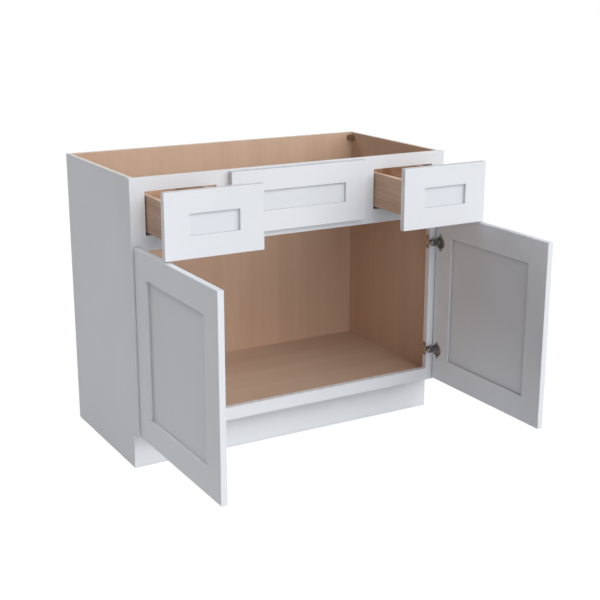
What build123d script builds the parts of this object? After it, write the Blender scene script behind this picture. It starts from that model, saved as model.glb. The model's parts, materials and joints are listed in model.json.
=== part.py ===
"""Vanity unit: a face-frame cabinet with two hinged doors, two drawers on slides and a fixed front.

Millimetres. X runs to the right, Y to the wall, Z up from the floor. Y = 0 is the front of the
face frame. The doors stand open at a right angle and the drawers are pulled part of the way out.
"""
import os

from build123d import *

os.makedirs("parts", exist_ok=True)

# Whole cabinet
WIDTH = 1066.8
HEIGHT = 876.3
DEPTH = 533.4
TOE_HEIGHT = 114.3
TOE_RECESS = 54.0

# Boards of the box
SIDE_T = 12.7
DECK_T = 12.7
BACK_T = 6.35
NAILER_T = 12.7
TOE_T = 12.7
NAILER_TOP_H = 101.6
NAILER_BOTTOM_H = 76.2
CLEAT_T = 12.7
CLEAT_H = 64.0

# Face frame
FRAME_T = 19.05
OVERHANG = 6.35
STILE_W = 44.45
TOP_RAIL_W = 38.1
MID_RAIL_W = 42.9
BOTTOM_RAIL_W = 39.7
RAIL_LIP = 12.7
DRAWER_OPENING_H = 125.4
DRAWER_OPENING_W = 220.65
MULLION_W = 50.8

# Doors and fronts
FRONT_T = 18.0
FRONT_GAP = 1.6
SIDE_REVEAL = 6.35
TOP_REVEAL = 3.175
BOTTOM_REVEAL = 6.35
FRONT_SPACE = 3.175
FRONT_H = 184.15
DRAWER_FRONT_W = 295.275
FRONT_STILE_W = 73.0
FRONT_RAIL_W = 62.2
DOOR_STILE_W = 79.4
DOOR_RAIL_W = 77.8
FRONT_RECESS = 8.6
DOOR_RECESS = 6.9
PANEL_T = 6.35
GROOVE_D = 9.5
TONGUE = 8.0
EASE = 1.2

# Hinges
PIVOT_EDGE = 5.6
PIVOT_DEPTH = 10.4
HINGE_END = 101.6
CUP_R = 20.0
CUP_T = 0.7
CUP_DEPTH = 14.0
CUP_TAB = 2.2
BORE_PLAY = 0.1
BORE_SPARE = 0.5
CUP_BEVEL = 1.0
FLANGE_R = 21.0
FLANGE_CUT = 1.0
EAR_W = 16.0
EAR_HALF = 29.0
PIN_R = 1.25
PIN_HALF = 9.0
PIN_PLAY = 0.05
EYE_R = 2.0
ARM_T = 1.8
ARM_HALF = 5.0
ARM_BEND = 3.0
ARM_KNEE = 14.45
ARM_FLOOR_PLAY = 0.2
COVER_START = 2.5
COVER_W = 15.0
COVER_HALF = 11.0
COVER_LIP = 5.0
WRAP_W = 14.0
WRAP_T = 1.3
WRAP_HALF = 6.8
WRAP_BEND = 1.2
PLATE_HALF = 22.0
PLATE_CORNER = 4.0
BUMPER_R = 4.0
BUMPER_T = 1.5
BUMPER_INSET = 25.0

# Drawers
DRAWER_OUT = 199.4
BOX_CLEAR = 4.75
BOX_T = 12.7
BOX_RISE = 8.7
BOX_H = 106.0
BOX_BOTTOM_T = 6.35
BOX_BOTTOM_RISE = 12.7
BOX_GROOVE = 6.35
BOX_EASE = 2.5

# Drawer slides, measured inwards from the edge of the drawer opening
STEEL_T = 1.2
STEEL_BEND = 1.0
SLIDE_PLAY = 0.3
SLIDE_BEHIND = 1.0
RUNNER_START = 18.0
RUNNER_W = 26.0
RUNNER_LEG = 17.7
RUNNER_LIP = 2.4
RUNNER_LENGTH = 440.0
RUNNER_BACK_SPACE = 3.5
MIDDLE_LEG = 13.0
MIDDLE_LENGTH = 428.0
BASE_START = 6.0
BASE_W = 50.0
BASE_FRONT = 2.0
BASE_BACK_SPACE = 44.35
BRACKET_T = 2.0
BRACKET_DROP = 12.0
BRACKET_RISE = 46.0
BRACKET_REACH = 74.0
BRACKET_RIB = 36.0
BRACKET_FILLET = 3.0
LOCK_W = 24.0
LOCK_LENGTH = 52.0
LOCK_H = 9.0
LOCK_GRIP = 20.0
LOCK_TAIL = 4.0

# Corner braces, pads and clips
BRACE_LEG = 20.0
BRACE_TIP = 5.0
BRACE_H = 17.0
BRACE_DROP = 8.5
BRACE_WALL = 2.0
BRACE_CUT = 4.5
PAD_SIDE = 12.0
PAD_INSET = 30.0
CLIP_T = 1.6
CLIP_BEND = 1.0
CLIP_LEG = 25.0
CLIP_H = 40.0

# Places worked out from the sizes above
HALF = WIDTH / 2
SIDE_OUT = HALF - OVERHANG
SIDE_IN = SIDE_OUT - SIDE_T
STILE_IN = HALF - STILE_W
BACK_FRONT = DEPTH - NAILER_T - BACK_T
BOTTOM_RAIL_TOP = TOE_HEIGHT + BOTTOM_RAIL_W
DECK_TOP = BOTTOM_RAIL_TOP - RAIL_LIP
DECK_UNDER = DECK_TOP - DECK_T
TOP_RAIL_UNDER = HEIGHT - TOP_RAIL_W
MID_RAIL_TOP = TOP_RAIL_UNDER - DRAWER_OPENING_H
MID_RAIL_UNDER = MID_RAIL_TOP - MID_RAIL_W
MULLION_OUT = STILE_IN - DRAWER_OPENING_W
MULLION_IN = MULLION_OUT - MULLION_W
TOE_BACK = TOE_RECESS + TOE_T

FRONT_TOP = HEIGHT - TOP_REVEAL
FRONT_UNDER = FRONT_TOP - FRONT_H
FRONT_FACE = -FRONT_GAP - FRONT_T
FRONT_EDGE = HALF - SIDE_REVEAL
DRAWER_FRONT_IN = FRONT_EDGE - DRAWER_FRONT_W
FALSE_HALF = DRAWER_FRONT_IN - FRONT_SPACE

DOOR_TOP = FRONT_UNDER - FRONT_SPACE
DOOR_UNDER = TOE_HEIGHT + BOTTOM_REVEAL
DOOR_W = FRONT_EDGE - FRONT_SPACE / 2
PIVOT_X = FRONT_EDGE - PIVOT_EDGE
PIVOT_Y = -FRONT_GAP - PIVOT_DEPTH
DOOR_IN = PIVOT_X - PIVOT_DEPTH
DOOR_OUT = DOOR_IN + FRONT_T
DOOR_HINGE_Y = PIVOT_Y + PIVOT_EDGE
DOOR_FREE_Y = DOOR_HINGE_Y - DOOR_W
STILE_HINGE_Y = DOOR_HINGE_Y - DOOR_STILE_W
STILE_FREE_Y = DOOR_FREE_Y + DOOR_STILE_W
PANEL_OUT = DOOR_OUT - DOOR_RECESS
PANEL_IN = PANEL_OUT - PANEL_T
CUP_Y = DOOR_HINGE_Y - CUP_TAB - CUP_R
CUP_IN_R = CUP_R - CUP_T
HINGE_Z = (DOOR_UNDER + HINGE_END, DOOR_TOP - HINGE_END)
ARM_Y = -FRONT_GAP - CUP_DEPTH + CUP_T + ARM_FLOOR_PLAY + ARM_T / 2

BOX_UNDER = MID_RAIL_TOP + BOX_RISE
BOX_TOP = BOX_UNDER + BOX_H
BOX_OUTER = STILE_IN - BOX_CLEAR
BOX_INNER = MULLION_OUT + BOX_CLEAR
BOX_FRONT = -FRONT_GAP - DRAWER_OUT
BOTTOM_UNDER = BOX_UNDER + BOX_BOTTOM_RISE
BOTTOM_TOP = BOTTOM_UNDER + BOX_BOTTOM_T
SLIDE_FRONT = BOX_T - FRONT_GAP + SLIDE_BEHIND
BOX_BACK = SLIDE_FRONT - DRAWER_OUT + RUNNER_LENGTH + RUNNER_BACK_SPACE
BOX_LENGTH = BOX_BACK - BOX_FRONT
BASE_BACK = BACK_FRONT - BASE_BACK_SPACE


def block(x0, x1, y0, y1, z0, z1, mode=Mode.ADD):
    """A square-edged box between two corners."""
    with Locations(((x0 + x1) / 2, (y0 + y1) / 2, (z0 + z1) / 2)):
        Box(abs(x1 - x0), abs(y1 - y0), abs(z1 - z0), mode=mode)


def across(x0, x1, y, z, radius, mode=Mode.ADD):
    """A round bar lying along X."""
    with Locations(Location(((x0 + x1) / 2, y, z), (0, 90, 0))):
        Cylinder(radius, abs(x1 - x0), mode=mode)


def profile(plane, points, amount, both=False):
    """A straight-sided outline on a plane, pulled out along the normal."""
    with BuildSketch(plane) as section:
        Polygon(*points, align=None)
    extrude(section.sketch, amount=amount, both=both)


def bent_strip(plane, points, bend, thickness, amount, both=False):
    """A bent strip: the line through the middle of its thickness, pulled out along the normal."""
    with BuildSketch(plane) as section:
        with BuildLine():
            FilletPolyline(*points, radius=bend)
        trace(line_width=thickness)
    extrude(section.sketch, amount=amount, both=both)


def board(x0, x1, y0, y1, z0, z1):
    """One plain board."""
    with BuildPart() as made:
        block(x0, x1, y0, y1, z0, z1)
    return made


def side_panel(s):
    """A side of the box, notched at the foot for the toe space."""
    outline = [(TOE_BACK, 0), (DEPTH, 0), (DEPTH, HEIGHT), (FRAME_T, HEIGHT),
               (FRAME_T, TOE_HEIGHT), (TOE_BACK, TOE_HEIGHT)]
    with BuildPart() as made:
        profile(Plane.YZ.offset(s * SIDE_IN), outline, s * SIDE_T)
    return made


def frame_board(x0, x1, z0, z1):
    """A stile, rail or mullion of the face frame."""
    return board(x0, x1, 0, FRAME_T, z0, z1)


def brace_pair(wall_y, away):
    """Two hollow plastic corner blocks under the top edge, with cut tips, in the corners along one wall."""
    leg = wall_y + BRACE_LEG * away
    tip = wall_y + BRACE_TIP * away
    near = SIDE_IN - BRACE_TIP
    far = SIDE_IN - BRACE_LEG
    plan = [(SIDE_IN, wall_y), (SIDE_IN, leg), (near, leg), (far, tip), (far, wall_y)]
    with BuildPart() as made:
        profile(Plane.XY.offset(HEIGHT - BRACE_DROP - BRACE_H), plan, BRACE_H)
        tips = [made.faces().sort_by(Axis.X)[0], made.faces().sort_by(Axis.Y)[-1 if away > 0 else 0]]
        chamfer([edge for face in tips for edge in face.edges().filter_by(Plane.XY)], BRACE_CUT)
        offset(amount=-BRACE_WALL, openings=made.faces().sort_by(Axis.Z)[0])
        mirror(about=Plane.YZ)
    return made


def slab_front(x0, x1, y_face):
    """A drawer or false front, routed from one slab with a sunk field."""
    with BuildPart() as made:
        block(x0, x1, y_face, y_face + FRONT_T, FRONT_UNDER, FRONT_TOP)
        fillet(made.faces().sort_by(Axis.Y)[0].edges(), EASE)
        block(x0 + FRONT_STILE_W, x1 - FRONT_STILE_W, y_face, y_face + FRONT_RECESS,
              FRONT_UNDER + FRONT_RAIL_W, FRONT_TOP - FRONT_RAIL_W, Mode.SUBTRACT)
    return made


def false_pads():
    """Four thin pads that hold the false front off the face frame."""
    upper = (TOP_RAIL_UNDER + FRONT_TOP) / 2
    lower = (FRONT_UNDER + MID_RAIL_TOP) / 2
    with BuildPart() as made:
        with Locations(Location((0, -FRONT_GAP / 2, (upper + lower) / 2), (90, 0, 0))):
            with GridLocations(2 * (FALSE_HALF - PAD_INSET), upper - lower, 2, 2):
                Box(PAD_SIDE, PAD_SIDE, FRONT_GAP)
    return made


def false_clips():
    """Two bent clips that tie the false front to the backs of the mullions."""
    middle = (MID_RAIL_TOP + TOP_RAIL_UNDER) / 2
    web = MULLION_IN - CLIP_T / 2
    back = FRAME_T + CLIP_T / 2
    line = [(web - CLIP_LEG, -FRONT_GAP / 2), (web, -FRONT_GAP / 2), (web, back), (web + CLIP_LEG, back)]
    with BuildPart() as made:
        bent_strip(Plane.XY.offset(middle), line, CLIP_BEND, CLIP_T, CLIP_H / 2, both=True)
        mirror(about=Plane.YZ)
    return made


def hinge_arms(s):
    """Frame side of both hinges: screw plate bent round the stile, and the channelled arm to the pin."""
    inside = s * (STILE_IN - ARM_T)
    web = s * (STILE_IN - ARM_T / 2)
    edge = s * STILE_IN
    wrap_end = s * (STILE_IN + WRAP_W)
    line = [(s * PIVOT_X, PIVOT_Y), (s * (PIVOT_X - ARM_KNEE), ARM_Y), (web, ARM_Y), (web, FRAME_T)]
    cover = [(-COVER_LIP, -COVER_HALF), (ARM_Y, -COVER_HALF), (ARM_Y, COVER_HALF), (-COVER_LIP, COVER_HALF)]
    wrap = [(inside, -WRAP_T), (wrap_end, -WRAP_T), (wrap_end, 0), (edge, 0), (edge, FRAME_T),
            (inside, FRAME_T)]
    with BuildPart() as made:
        for z in HINGE_Z:
            with BuildSketch(Plane.XY.offset(z)) as arm:
                with BuildLine():
                    FilletPolyline(*line, radius=ARM_BEND)
                trace(line_width=ARM_T)
                with Locations((s * PIVOT_X, PIVOT_Y)):
                    Circle(EYE_R)
                    Circle(PIN_R + PIN_PLAY, mode=Mode.SUBTRACT)
            extrude(arm.sketch, amount=ARM_HALF, both=True)
            start = Plane((s * (STILE_IN + COVER_START), 0, z), x_dir=(0, 1, 0), z_dir=(s, 0, 0))
            bent_strip(start, [(y, s * up) for y, up in cover], ARM_BEND, ARM_T, COVER_W)
            with BuildSketch(Plane.XY.offset(z)) as tab:
                Polygon(*wrap, align=None)
                fillet(tab.vertices().sort_by_distance((inside, -WRAP_T))[0], WRAP_BEND)
            extrude(tab.sketch, amount=WRAP_HALF, both=True)
            with BuildSketch(Plane.YZ.offset(inside)) as plate:
                with Locations((FRAME_T / 2, z)):
                    Rectangle(FRAME_T, 2 * PLATE_HALF)
                chamfer(plate.vertices(), PLATE_CORNER)
            extrude(plate.sketch, amount=s * ARM_T)
    return made


def hinge_cups(s):
    """Door side of both hinges: drawn cup, flange with two screw ears, and the pin."""
    wall = [(-CUP_T, CUP_IN_R), (-CUP_T, FLANGE_R), (0, FLANGE_R), (0, CUP_R), (CUP_DEPTH, CUP_R),
            (CUP_DEPTH, 0), (CUP_DEPTH - CUP_T, 0), (CUP_DEPTH - CUP_T, CUP_IN_R)]
    with BuildPart() as made:
        for z in HINGE_Z:
            mouth = (s * DOOR_IN, CUP_Y, z)
            with BuildSketch(Plane(mouth, x_dir=(s, 0, 0), z_dir=(0, 0, s))) as half:
                Polygon(*wall, align=None)
                chamfer(half.vertices().sort_by_distance((CUP_DEPTH - CUP_T, CUP_IN_R))[0], CUP_BEVEL)
            revolve(half.sketch, axis=Axis(mouth, (1, 0, 0)))
            with BuildSketch(Plane(mouth, x_dir=(0, 1, 0), z_dir=(-s, 0, 0))) as ears:
                SlotOverall(2 * EAR_HALF, EAR_W, rotation=90)
                Circle(CUP_IN_R, mode=Mode.SUBTRACT)
            extrude(ears.sketch, amount=CUP_T)
            block(s * (DOOR_IN - CUP_T), s * DOOR_IN, PIVOT_Y - FLANGE_CUT, DOOR_HINGE_Y,
                  z - FLANGE_R, z + FLANGE_R, Mode.SUBTRACT)
            with Locations((s * PIVOT_X, PIVOT_Y, z)):
                Cylinder(PIN_R, 2 * PIN_HALF)
    return made


def door_section(plane, s, outer, inner):
    """Section of a door stile or rail, grooved along its inner edge."""
    into = GROOVE_D if outer > inner else -GROOVE_D
    with BuildSketch(plane) as section:
        with Locations((s * (DOOR_IN + DOOR_OUT) / 2, (outer + inner) / 2)):
            Rectangle(FRONT_T, abs(outer - inner))
        with Locations((s * (PANEL_IN + PANEL_OUT) / 2, inner + into / 2)):
            Rectangle(PANEL_T, GROOVE_D, mode=Mode.SUBTRACT)
    return section.sketch


def door_stile(s, outer, inner):
    """A full-height door stile, rounded along its outer edge and across both ends."""
    with BuildPart() as made:
        extrude(door_section(Plane.XY.offset(DOOR_UNDER), s, outer, inner), amount=DOOR_TOP - DOOR_UNDER)
        long_edges = made.edges().filter_by(Axis.Z).group_by(Axis.Y)
        end_edges = made.edges().filter_by(Axis.Y).group_by(Axis.X)
        fillet(long_edges[-1 if outer > inner else 0] + end_edges[0] + end_edges[-1], EASE)
    return made


def hinge_stile(s):
    """The door stile at the hinges, bored for both cups."""
    with door_stile(s, DOOR_HINGE_Y, STILE_HINGE_Y) as made:
        for z in HINGE_Z:
            floor = DOOR_IN + CUP_DEPTH + BORE_SPARE
            across(s * DOOR_IN, s * floor, CUP_Y, z, CUP_R + BORE_PLAY, Mode.SUBTRACT)
    return made


def lock_stile(s):
    """The door stile at the free edge."""
    return door_stile(s, DOOR_FREE_Y, STILE_FREE_Y)


def door_rail(s, upper):
    """A door rail with a groove for the panel and stub tenons that fit the grooves of the stiles."""
    outer = DOOR_TOP if upper else DOOR_UNDER
    inner = outer - DOOR_RAIL_W if upper else outer + DOOR_RAIL_W
    groove = inner + GROOVE_D if upper else inner - GROOVE_D
    length = STILE_HINGE_Y - STILE_FREE_Y
    with BuildPart() as made:
        extrude(door_section(Plane.XZ.offset(-STILE_FREE_Y), s, outer, inner), amount=-length)
        fillet(made.edges().filter_by(Axis.Y).group_by(Axis.Z)[-1 if upper else 0], EASE)
        for y in (STILE_FREE_Y - GROOVE_D, STILE_HINGE_Y):
            block(s * PANEL_IN, s * PANEL_OUT, y, y + GROOVE_D, groove, outer)
    return made


def door_panel(s):
    """The flat door panel, let into the grooves of the stiles and rails."""
    return board(s * PANEL_IN, s * PANEL_OUT, STILE_FREE_Y - TONGUE, STILE_HINGE_Y + TONGUE,
                 DOOR_UNDER + DOOR_RAIL_W - TONGUE, DOOR_TOP - DOOR_RAIL_W + TONGUE)


def door_bumpers(s):
    """Two soft round pads on the back of a door, where it meets the rails."""
    levels = ((DOOR_UNDER + BOTTOM_RAIL_TOP) / 2, (MID_RAIL_UNDER + DOOR_TOP) / 2)
    with BuildPart() as made:
        for z in levels:
            across(s * (DOOR_IN - BUMPER_T), s * DOOR_IN, DOOR_FREE_Y + BUMPER_INSET, z, BUMPER_R)
    return made


def box_side(s, outer):
    """A side of a drawer box, grooved for the bottom, with a rounded top edge."""
    x_out = BOX_OUTER if outer else BOX_INNER
    inward = -1 if outer else 1
    x_mid = x_out + inward * BOX_T / 2
    x_groove = x_out + inward * (BOX_T - BOX_GROOVE / 2)
    with BuildPart() as made:
        with BuildSketch(Plane.XZ.offset(-BOX_FRONT)) as section:
            with Locations((s * x_mid, (BOX_UNDER + BOX_TOP) / 2)):
                Rectangle(BOX_T, BOX_H)
            fillet(section.vertices().group_by(Axis.Y)[-1], BOX_EASE)
            with Locations((s * x_groove, (BOTTOM_UNDER + BOTTOM_TOP) / 2)):
                Rectangle(BOX_GROOVE, BOX_BOTTOM_T, mode=Mode.SUBTRACT)
        extrude(section.sketch, amount=-BOX_LENGTH)
    return made


def box_front(s):
    """The front of a drawer box, behind the drawer front, grooved for the bottom."""
    x0 = s * (BOX_INNER + BOX_T)
    x1 = s * (BOX_OUTER - BOX_T)
    inside = BOX_FRONT + BOX_T
    with BuildPart() as made:
        block(x0, x1, BOX_FRONT, inside, BOX_UNDER, BOX_TOP)
        block(x0, x1, inside - BOX_GROOVE, inside, BOTTOM_UNDER, BOTTOM_TOP, Mode.SUBTRACT)
    return made


def box_back(s):
    """The back of a drawer box, standing on the bottom."""
    return board(s * (BOX_INNER + BOX_T), s * (BOX_OUTER - BOX_T), BOX_BACK - BOX_T, BOX_BACK,
                 BOTTOM_TOP, BOX_TOP)


def box_bottom(s):
    """The bottom of a drawer box."""
    reach = BOX_T - BOX_GROOVE
    return board(s * (BOX_INNER + reach), s * (BOX_OUTER - reach), BOX_FRONT + reach, BOX_BACK,
                 BOTTOM_UNDER, BOTTOM_TOP)


def slide_ends(s):
    """The two edges of a drawer opening, each with the direction into the opening."""
    return ((s * MULLION_OUT, s), (s * STILE_IN, -s))


def runners(s):
    """The slide members under a drawer: lipped channels that wrap the middle members."""
    crown = BOTTOM_UNDER - STEEL_T / 2
    foot = crown - RUNNER_LEG
    with BuildPart() as made:
        for edge, way in slide_ends(s):
            a = edge + way * (RUNNER_START + STEEL_T / 2)
            b = edge + way * (RUNNER_START + RUNNER_W - STEEL_T / 2)
            lip = way * (RUNNER_LIP - STEEL_T / 2)
            line = [(a + lip, foot), (a, foot), (a, crown), (b, crown), (b, foot), (b - lip, foot)]
            bent_strip(Plane.XZ.offset(DRAWER_OUT - SLIDE_FRONT), line, STEEL_BEND, STEEL_T, -RUNNER_LENGTH)
    return made


def middles(s):
    """The slide members between cabinet and drawer, which travel half as far as the drawer."""
    step = STEEL_T + SLIDE_PLAY
    crown = BOTTOM_UNDER - step - STEEL_T / 2
    foot = crown - STEEL_T / 2 - MIDDLE_LEG
    with BuildPart() as made:
        for edge, way in slide_ends(s):
            a = edge + way * (RUNNER_START + step + STEEL_T / 2)
            b = edge + way * (RUNNER_START + RUNNER_W - step - STEEL_T / 2)
            line = [(a, foot), (a, crown), (b, crown), (b, foot)]
            bent_strip(Plane.XZ.offset(DRAWER_OUT / 2 - SLIDE_FRONT), line, STEEL_BEND, STEEL_T,
                       -MIDDLE_LENGTH)
    return made


def bases(s):
    """The slide members fixed in the cabinet: hat sections with a screw tab on the middle rail."""
    step = 2 * (STEEL_T + SLIDE_PLAY)
    crown = BOTTOM_UNDER - step - STEEL_T / 2
    foot = MID_RAIL_TOP + STEEL_T / 2
    with BuildPart() as made:
        for edge, way in slide_ends(s):
            start = edge + way * BASE_START
            end = edge + way * (BASE_START + BASE_W)
            a = edge + way * (RUNNER_START + step + STEEL_T / 2)
            b = edge + way * (RUNNER_START + RUNNER_W - step - STEEL_T / 2)
            line = [(start, foot), (a, foot), (a, crown), (b, crown), (b, foot), (end, foot)]
            bent_strip(Plane.XZ.offset(-SLIDE_FRONT), line, STEEL_BEND, STEEL_T, SLIDE_FRONT - BASE_BACK)
            block(start, end, BASE_FRONT, SLIDE_FRONT, MID_RAIL_TOP, MID_RAIL_TOP + STEEL_T)
    return made


def brackets(s):
    """The rear brackets that carry the slides on the back panel, each with a rib at both ends."""
    low = MID_RAIL_TOP - BRACKET_DROP
    high = MID_RAIL_TOP + BRACKET_RISE
    plate = BACK_FRONT - BRACKET_T
    tip = BACK_FRONT - BRACKET_REACH
    shelf = MID_RAIL_TOP - BRACKET_T
    outline = [(BACK_FRONT, low), (BACK_FRONT, high), (plate, high), (plate, MID_RAIL_TOP),
               (tip, MID_RAIL_TOP), (tip, shelf), (plate, shelf), (plate, low)]
    rib = [(plate, low), (plate, shelf), (plate - BRACKET_RIB, shelf)]
    with BuildPart() as made:
        for edge, way in slide_ends(s):
            start = edge + way * BASE_START
            with BuildSketch(Plane.YZ.offset(start)) as section:
                Polygon(*outline, align=None)
                fillet(section.vertices().sort_by_distance((plate, MID_RAIL_TOP))[0], BRACKET_FILLET)
            extrude(section.sketch, amount=way * BASE_W)
            for x in (start, start + way * (BASE_W - BRACKET_T)):
                profile(Plane.YZ.offset(x), rib, way * BRACKET_T)
    return made


def locks(s):
    """The catches under the front of a drawer that clip it to the slides."""
    back = BOX_FRONT + BOX_T
    low = BOTTOM_UNDER - LOCK_H
    outline = [(back, BOTTOM_UNDER), (back, low), (back + LOCK_GRIP, low),
               (back + LOCK_LENGTH, BOTTOM_UNDER - LOCK_TAIL), (back + LOCK_LENGTH, BOTTOM_UNDER)]
    with BuildPart() as made:
        for edge, way in slide_ends(s):
            profile(Plane.YZ.offset(edge + way * (RUNNER_START + RUNNER_W)), outline, way * LOCK_W)
    return made


# Box of the cabinet
side_left = side_panel(-1)
side_left.part.label = "side_left"
export_step(side_left.part, "parts/side_left.step")

side_right = side_panel(1)
side_right.part.label = "side_right"
export_step(side_right.part, "parts/side_right.step")

back_panel = board(-SIDE_IN, SIDE_IN, BACK_FRONT, BACK_FRONT + BACK_T, DECK_UNDER, HEIGHT)
back_panel.part.label = "back_panel"
export_step(back_panel.part, "parts/back_panel.step")

nailer_top = board(-SIDE_IN, SIDE_IN, DEPTH - NAILER_T, DEPTH, HEIGHT - NAILER_TOP_H, HEIGHT)
nailer_top.part.label = "nailer_top"
export_step(nailer_top.part, "parts/nailer_top.step")

nailer_bottom = board(-SIDE_IN, SIDE_IN, DEPTH - NAILER_T, DEPTH, DECK_UNDER, DECK_UNDER + NAILER_BOTTOM_H)
nailer_bottom.part.label = "nailer_bottom"
export_step(nailer_bottom.part, "parts/nailer_bottom.step")

deck = board(-SIDE_IN, SIDE_IN, FRAME_T, BACK_FRONT, DECK_UNDER, DECK_TOP)
deck.part.label = "deck"
export_step(deck.part, "parts/deck.step")

with BuildPart() as deck_cleats:
    block(-SIDE_IN, SIDE_IN, TOE_BACK, TOE_BACK + CLEAT_T, DECK_UNDER - CLEAT_H, DECK_UNDER)
    block(-SIDE_IN, SIDE_IN, BACK_FRONT - CLEAT_T, BACK_FRONT, DECK_UNDER - CLEAT_H, DECK_UNDER)
deck_cleats.part.label = "deck_cleats"
export_step(deck_cleats.part, "parts/deck_cleats.step")

toe_board = board(-SIDE_OUT, SIDE_OUT, TOE_RECESS, TOE_BACK, 0, TOE_HEIGHT)
toe_board.part.label = "toe_board"
export_step(toe_board.part, "parts/toe_board.step")

# Face frame
stile_left = frame_board(-HALF, -STILE_IN, TOE_HEIGHT, HEIGHT)
stile_left.part.label = "stile_left"
export_step(stile_left.part, "parts/stile_left.step")

stile_right = frame_board(STILE_IN, HALF, TOE_HEIGHT, HEIGHT)
stile_right.part.label = "stile_right"
export_step(stile_right.part, "parts/stile_right.step")

top_rail = frame_board(-STILE_IN, STILE_IN, TOP_RAIL_UNDER, HEIGHT)
top_rail.part.label = "top_rail"
export_step(top_rail.part, "parts/top_rail.step")

mid_rail = frame_board(-STILE_IN, STILE_IN, MID_RAIL_UNDER, MID_RAIL_TOP)
mid_rail.part.label = "mid_rail"
export_step(mid_rail.part, "parts/mid_rail.step")

bottom_rail = frame_board(-STILE_IN, STILE_IN, TOE_HEIGHT, BOTTOM_RAIL_TOP)
bottom_rail.part.label = "bottom_rail"
export_step(bottom_rail.part, "parts/bottom_rail.step")

mullion_left = frame_board(-MULLION_OUT, -MULLION_IN, MID_RAIL_TOP, TOP_RAIL_UNDER)
mullion_left.part.label = "mullion_left"
export_step(mullion_left.part, "parts/mullion_left.step")

mullion_right = frame_board(MULLION_IN, MULLION_OUT, MID_RAIL_TOP, TOP_RAIL_UNDER)
mullion_right.part.label = "mullion_right"
export_step(mullion_right.part, "parts/mullion_right.step")

# Corner braces
braces_back = brace_pair(BACK_FRONT, -1)
braces_back.part.label = "braces_back"
export_step(braces_back.part, "parts/braces_back.step")

braces_front = brace_pair(FRAME_T, 1)
braces_front.part.label = "braces_front"
export_step(braces_front.part, "parts/braces_front.step")

# False front over the sink space
false_front = slab_front(-FALSE_HALF, FALSE_HALF, FRONT_FACE)
false_front.part.label = "false_front"
export_step(false_front.part, "parts/false_front.step")

false_front_pads = false_pads()
false_front_pads.part.label = "false_front_pads"
export_step(false_front_pads.part, "parts/false_front_pads.step")

false_front_clips = false_clips()
false_front_clips.part.label = "false_front_clips"
export_step(false_front_clips.part, "parts/false_front_clips.step")

# Hinges on the face frame
left_hinge_arms = hinge_arms(-1)
left_hinge_arms.part.label = "left_hinge_arms"
export_step(left_hinge_arms.part, "parts/left_hinge_arms.step")

right_hinge_arms = hinge_arms(1)
right_hinge_arms.part.label = "right_hinge_arms"
export_step(right_hinge_arms.part, "parts/right_hinge_arms.step")

# Left door
left_door_hinge_stile = hinge_stile(-1)
left_door_hinge_stile.part.label = "left_door_hinge_stile"
export_step(left_door_hinge_stile.part, "parts/left_door_hinge_stile.step")

left_door_lock_stile = lock_stile(-1)
left_door_lock_stile.part.label = "left_door_lock_stile"
export_step(left_door_lock_stile.part, "parts/left_door_lock_stile.step")

left_door_top_rail = door_rail(-1, True)
left_door_top_rail.part.label = "left_door_top_rail"
export_step(left_door_top_rail.part, "parts/left_door_top_rail.step")

left_door_bottom_rail = door_rail(-1, False)
left_door_bottom_rail.part.label = "left_door_bottom_rail"
export_step(left_door_bottom_rail.part, "parts/left_door_bottom_rail.step")

left_door_panel = door_panel(-1)
left_door_panel.part.label = "left_door_panel"
export_step(left_door_panel.part, "parts/left_door_panel.step")

left_door_cups = hinge_cups(-1)
left_door_cups.part.label = "left_door_cups"
export_step(left_door_cups.part, "parts/left_door_cups.step")

left_door_bumpers = door_bumpers(-1)
left_door_bumpers.part.label = "left_door_bumpers"
export_step(left_door_bumpers.part, "parts/left_door_bumpers.step")

# Right door
right_door_hinge_stile = hinge_stile(1)
right_door_hinge_stile.part.label = "right_door_hinge_stile"
export_step(right_door_hinge_stile.part, "parts/right_door_hinge_stile.step")

right_door_lock_stile = lock_stile(1)
right_door_lock_stile.part.label = "right_door_lock_stile"
export_step(right_door_lock_stile.part, "parts/right_door_lock_stile.step")

right_door_top_rail = door_rail(1, True)
right_door_top_rail.part.label = "right_door_top_rail"
export_step(right_door_top_rail.part, "parts/right_door_top_rail.step")

right_door_bottom_rail = door_rail(1, False)
right_door_bottom_rail.part.label = "right_door_bottom_rail"
export_step(right_door_bottom_rail.part, "parts/right_door_bottom_rail.step")

right_door_panel = door_panel(1)
right_door_panel.part.label = "right_door_panel"
export_step(right_door_panel.part, "parts/right_door_panel.step")

right_door_cups = hinge_cups(1)
right_door_cups.part.label = "right_door_cups"
export_step(right_door_cups.part, "parts/right_door_cups.step")

right_door_bumpers = door_bumpers(1)
right_door_bumpers.part.label = "right_door_bumpers"
export_step(right_door_bumpers.part, "parts/right_door_bumpers.step")

# Left drawer
left_drawer_front = slab_front(-FRONT_EDGE, -DRAWER_FRONT_IN, FRONT_FACE - DRAWER_OUT)
left_drawer_front.part.label = "left_drawer_front"
export_step(left_drawer_front.part, "parts/left_drawer_front.step")

left_box_outer_side = box_side(-1, True)
left_box_outer_side.part.label = "left_box_outer_side"
export_step(left_box_outer_side.part, "parts/left_box_outer_side.step")

left_box_inner_side = box_side(-1, False)
left_box_inner_side.part.label = "left_box_inner_side"
export_step(left_box_inner_side.part, "parts/left_box_inner_side.step")

left_box_front = box_front(-1)
left_box_front.part.label = "left_box_front"
export_step(left_box_front.part, "parts/left_box_front.step")

left_box_back = box_back(-1)
left_box_back.part.label = "left_box_back"
export_step(left_box_back.part, "parts/left_box_back.step")

left_box_bottom = box_bottom(-1)
left_box_bottom.part.label = "left_box_bottom"
export_step(left_box_bottom.part, "parts/left_box_bottom.step")

left_slide_runners = runners(-1)
left_slide_runners.part.label = "left_slide_runners"
export_step(left_slide_runners.part, "parts/left_slide_runners.step")

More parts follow.
